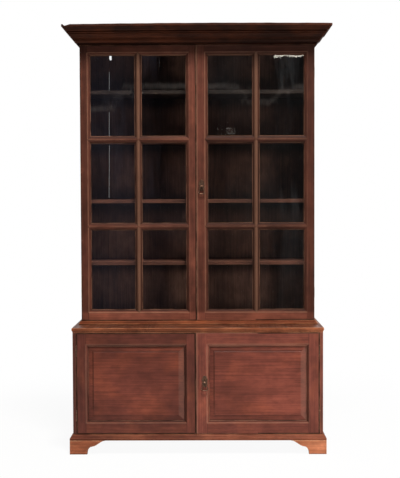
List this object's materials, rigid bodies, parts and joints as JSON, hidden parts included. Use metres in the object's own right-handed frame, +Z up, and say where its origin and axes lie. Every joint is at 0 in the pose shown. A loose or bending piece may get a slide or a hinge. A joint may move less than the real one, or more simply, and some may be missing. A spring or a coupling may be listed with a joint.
{
  "type": "glazed bookcase",
  "caption": "Tall mahogany bookcase: a panelled cupboard below, a shelved case with glazed doors above, under a moulded cornice, on bracket feet. The doors swing open and lock.",
  "frame": {"origin": "on the floor, under the middle of the object's outline", "axes": "+Z up, -Y out of the front of the doors, +X to the right as one faces the front"},
  "size_m": [1.508, 0.5, 2.393],
  "materials": {
    "mahogany": "old polish, satin",
    "dark_mahogany": "old polish, darkened",
    "foot_mahogany": "faded, satin",
    "inside_wood": "stained, matt",
    "back_wood": "unpolished",
    "old_glass": "clear, slightly wavy",
    "old_brass": "dark with age",
    "old_iron": "dark, dull"
  },
  "bodies": {
    "root": {"foot_front_left": "foot_mahogany", "foot_front_right": "foot_mahogany", "foot_rear_left": "foot_mahogany", "foot_rear_right": "foot_mahogany", "base_moulding": "mahogany", "lower_bottom_board": "inside_wood", "lower_side_left": "mahogany", "lower_side_right": "mahogany", "lower_back_board": "back_wood", "lower_top_board": "mahogany", "waist_moulding": "mahogany", "upper_bottom_board": "inside_wood", "upper_side_left": "mahogany", "upper_side_right": "mahogany", "upper_top_board": "inside_wood", "upper_shelf_1": "mahogany", "upper_shelf_2": "mahogany", "upper_shelf_3": "mahogany", "upper_shelf_4": "mahogany", "upper_back_plank_1": "back_wood", "upper_back_plank_2": "back_wood", "upper_back_plank_3": "back_wood", "upper_back_plank_4": "back_wood", "cornice_front": "dark_mahogany", "cornice_left": "dark_mahogany", "cornice_right": "dark_mahogany", "upper_left_hinge_top": "old_brass", "upper_left_hinge_bottom": "old_brass", "upper_right_hinge_top": "old_brass", "upper_right_hinge_bottom": "old_brass", "lower_left_hinge_top": "old_brass", "lower_left_hinge_bottom": "old_brass", "lower_right_hinge_top": "old_brass", "lower_right_hinge_bottom": "old_brass"},
    "upper_left_door": {"upper_left_door_frame": "mahogany", "upper_left_pane_1": "old_glass", "upper_left_pane_2": "old_glass", "upper_left_pane_3": "old_glass", "upper_left_pane_4": "old_glass", "upper_left_pane_5": "old_glass", "upper_left_pane_6": "old_glass"},
    "upper_right_door": {"upper_right_door_frame": "mahogany", "upper_right_pane_1": "old_glass", "upper_right_pane_2": "old_glass", "upper_right_pane_3": "old_glass", "upper_right_pane_4": "old_glass", "upper_right_pane_5": "old_glass", "upper_right_pane_6": "old_glass", "upper_escutcheon": "old_brass", "upper_lock_case": "old_iron"},
    "lower_left_door": {"lower_left_door_frame": "mahogany", "lower_left_door_panel": "mahogany"},
    "lower_right_door": {"lower_right_door_frame": "mahogany", "lower_right_door_panel": "mahogany", "lower_escutcheon": "old_brass", "lower_lock_case": "old_iron"},
    "upper_handle": {"upper_bail": "old_brass"},
    "lower_handle": {"lower_bail": "old_brass"},
    "upper_bolt": {"upper_lock_bolt": "old_brass"},
    "lower_bolt": {"lower_lock_bolt": "old_brass"}
  },
  "joints": [
    {"name": "upper_left_door_hinge", "type": "hinge", "parent": "root", "child": "upper_left_door", "pos_m": [-0.664, -0.0396, 0.7242], "axis": [0, 0, -1], "range_deg": [0, 170]},
    {"name": "upper_right_door_hinge", "type": "hinge", "parent": "root", "child": "upper_right_door", "pos_m": [0.664, -0.0396, 0.7242], "axis": [0, 0, 1], "range_deg": [0, 170]},
    {"name": "lower_left_door_hinge", "type": "hinge", "parent": "root", "child": "lower_left_door", "pos_m": [-0.6745, -0.232, 0.1109], "axis": [0, 0, -1], "range_deg": [0, 170]},
    {"name": "lower_right_door_hinge", "type": "hinge", "parent": "root", "child": "lower_right_door", "pos_m": [0.6745, -0.232, 0.1109], "axis": [0, 0, 1], "range_deg": [0, 170]},
    {"name": "upper_handle_lift", "type": "hinge", "parent": "upper_right_door", "child": "upper_handle", "pos_m": [0.02375, -0.0721, 1.487], "axis": [-1, 0, 0], "range_deg": [0, 95]},
    {"name": "lower_handle_lift", "type": "hinge", "parent": "lower_right_door", "child": "lower_handle", "pos_m": [0.0385, -0.2421, 0.397], "axis": [-1, 0, 0], "range_deg": [0, 95]},
    {"name": "upper_bolt_throw", "type": "slide", "parent": "upper_right_door", "child": "upper_bolt", "axis": [-1, 0, 0], "range_m": [0, 0.008]},
    {"name": "lower_bolt_throw", "type": "slide", "parent": "lower_right_door", "child": "lower_bolt", "axis": [-1, 0, 0], "range_m": [0, 0.008]}
  ]
}
